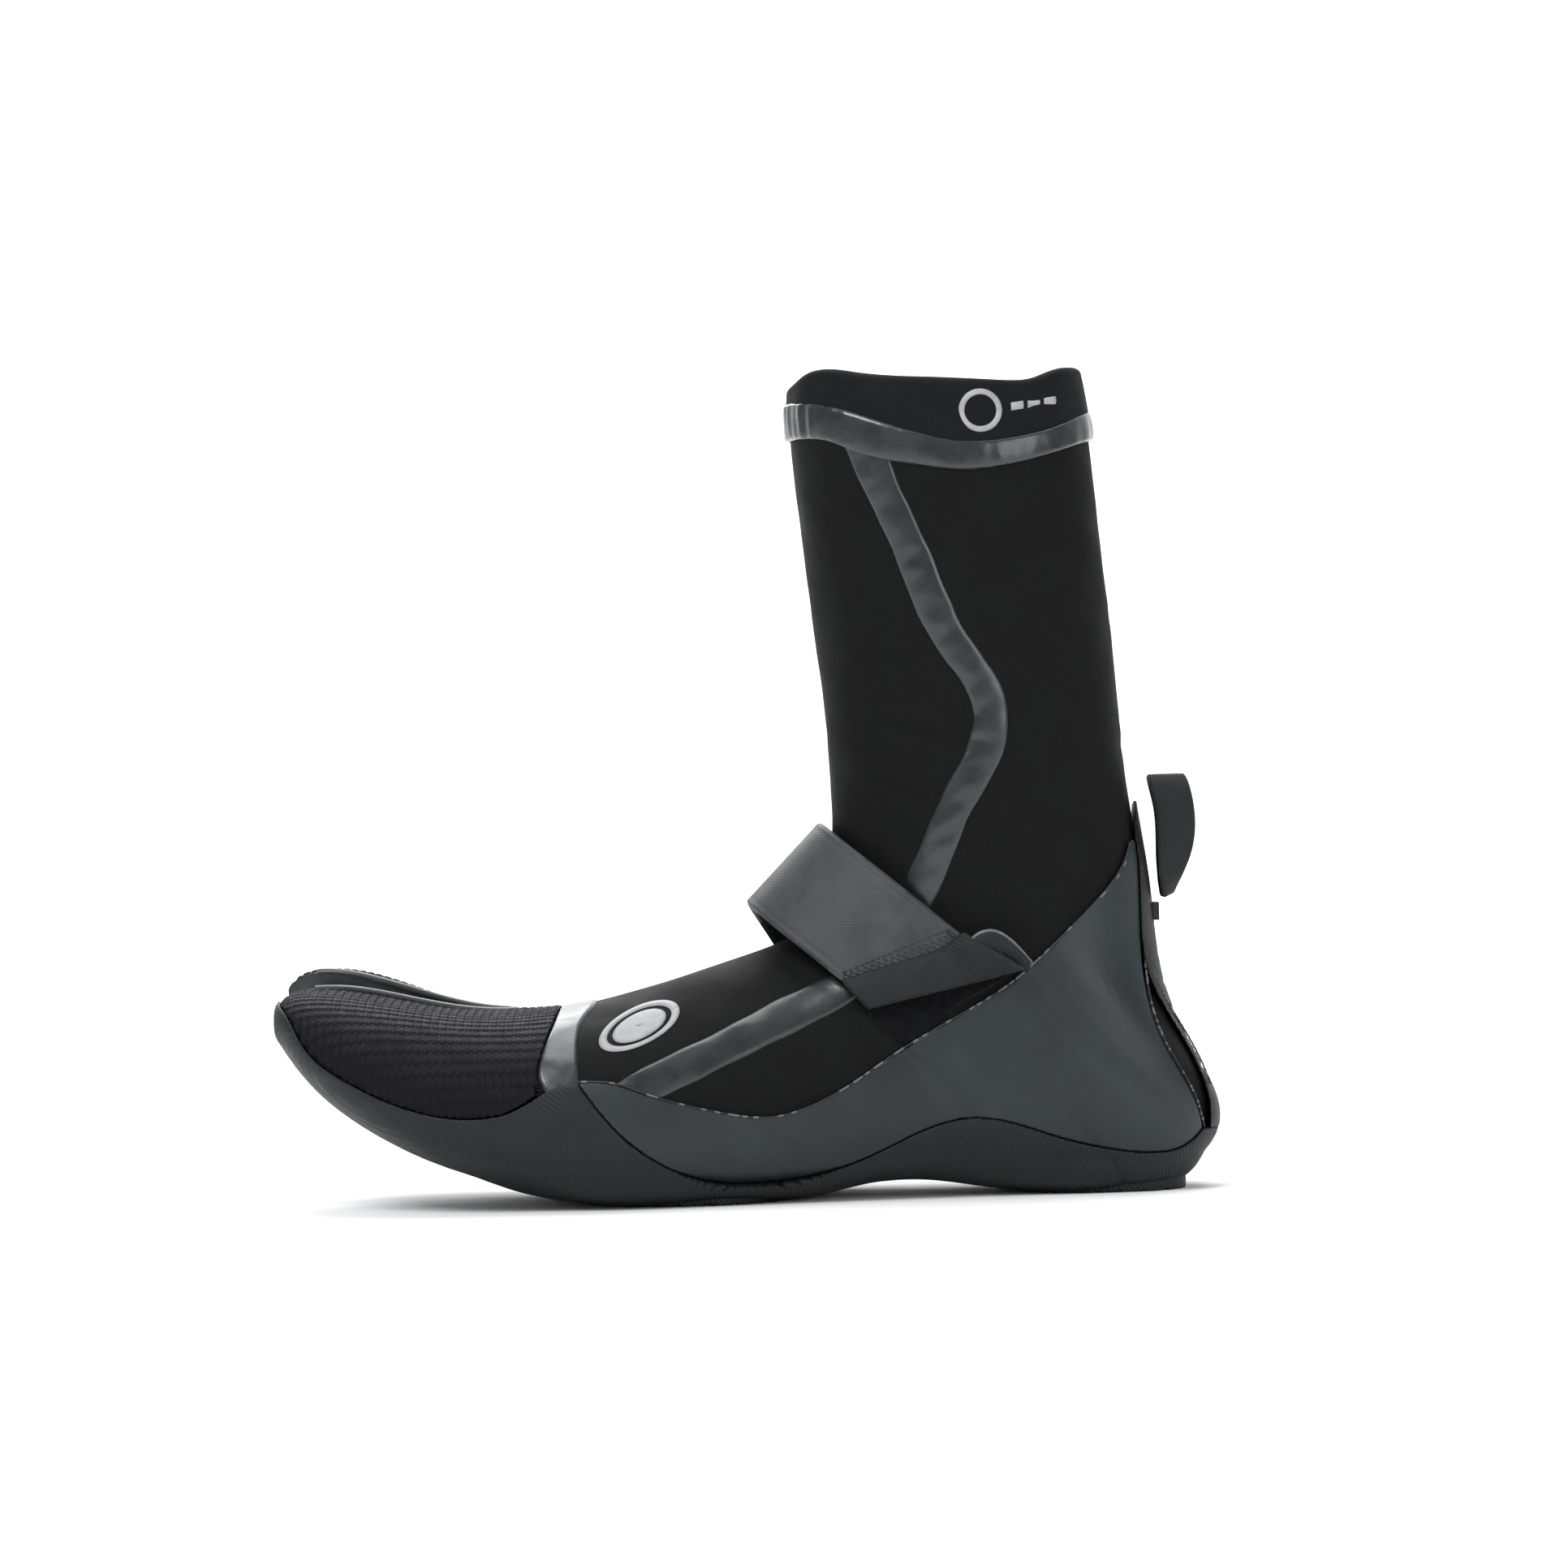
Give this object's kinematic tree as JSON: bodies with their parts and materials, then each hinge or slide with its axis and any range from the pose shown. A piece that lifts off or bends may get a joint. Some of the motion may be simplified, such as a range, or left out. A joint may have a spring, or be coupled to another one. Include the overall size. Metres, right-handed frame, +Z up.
{
  "type": "split-toe neoprene boot",
  "caption": "Left split-toe neoprene water boot with wrapped rubber sole, side wings, taped seams, hook-and-loop instep strap and heel pull loop.",
  "frame": {"origin": "centre of the flat heel grip pad, on the ground", "axes": "+X towards the heel, +Y towards the inner (big toe) side, +Z up the shaft"},
  "size_m": [0.2654, 0.099, 0.2321],
  "materials": {
    "neoprene": "matte knitted jersey over foam",
    "lining": "soft fleece",
    "rubber_dark": "fine ribbed, matte",
    "rubber_grey": "smooth satin",
    "tape": "glossy liquid rubber",
    "mesh": "knobbly abrasion mesh",
    "webbing": "woven, coated",
    "fastener": "hook and loop pile",
    "film": "heat-transfer film",
    "foam": "closed-cell foam footbed"
  },
  "bodies": {
    "foot": {"toe_box": "neoprene", "vamp_panel": "neoprene", "quarter_panel": "neoprene", "lining_foot": "lining", "insole": "foam", "outsole": "rubber_dark", "heel_grip_pad": "rubber_dark", "forefoot_grip_pad": "rubber_dark", "wing_outer": "rubber_grey", "wing_inner": "rubber_grey", "heel_cup": "rubber_dark", "toe_mesh_overlay": "mesh", "toe_split_gusset": "rubber_grey", "toe_seam_tape": "tape", "lower_seam_tape_outer": "tape", "lower_seam_tape_inner": "tape", "fastener_loop_patch": "fastener", "strap_anchor_patch": "webbing", "vamp_badge": "film", "pull_loop_bartack": "webbing", "ankle_flex_gusset": "neoprene", "strap_band": "webbing"},
    "shaft": {"shaft_front_panel": "neoprene", "shaft_rear_panel": "neoprene", "cuff_collar": "neoprene", "lining_shaft": "lining", "cuff_seal_tape": "tape", "upper_seam_tape_outer": "tape", "upper_seam_tape_inner": "tape", "cuff_print": "film"},
    "strap_flap": {"strap_flap": "webbing", "strap_hook_patch": "fastener", "strap_end_binding": "webbing", "strap_pull_tab": "webbing"},
    "pull_loop": {"heel_pull_loop": "webbing"}
  },
  "joints": [
    {"name": "shaft_flex", "type": "hinge", "parent": "foot", "child": "shaft", "pos_m": [-0.034, 0, 0.125], "axis": [0, 1, 0], "range_deg": [-20, 10], "stiffness_Nm_per_rad": 0.5, "deforming": ["ankle_flex_gusset"]},
    {"name": "strap_flap_open", "type": "hinge", "parent": "foot", "child": "strap_flap", "pos_m": [-0.0886, 0, 0.0946], "axis": [-0.696, 0, -0.718], "range_deg": [0, 110], "stiffness_Nm_per_rad": 0.02},
    {"name": "pull_loop_swing", "type": "hinge", "parent": "foot", "child": "pull_loop", "pos_m": [0.0175, 0, 0.083], "axis": [0, 1, 0], "range_deg": [-6, 45], "stiffness_Nm_per_rad": 0.01}
  ]
}
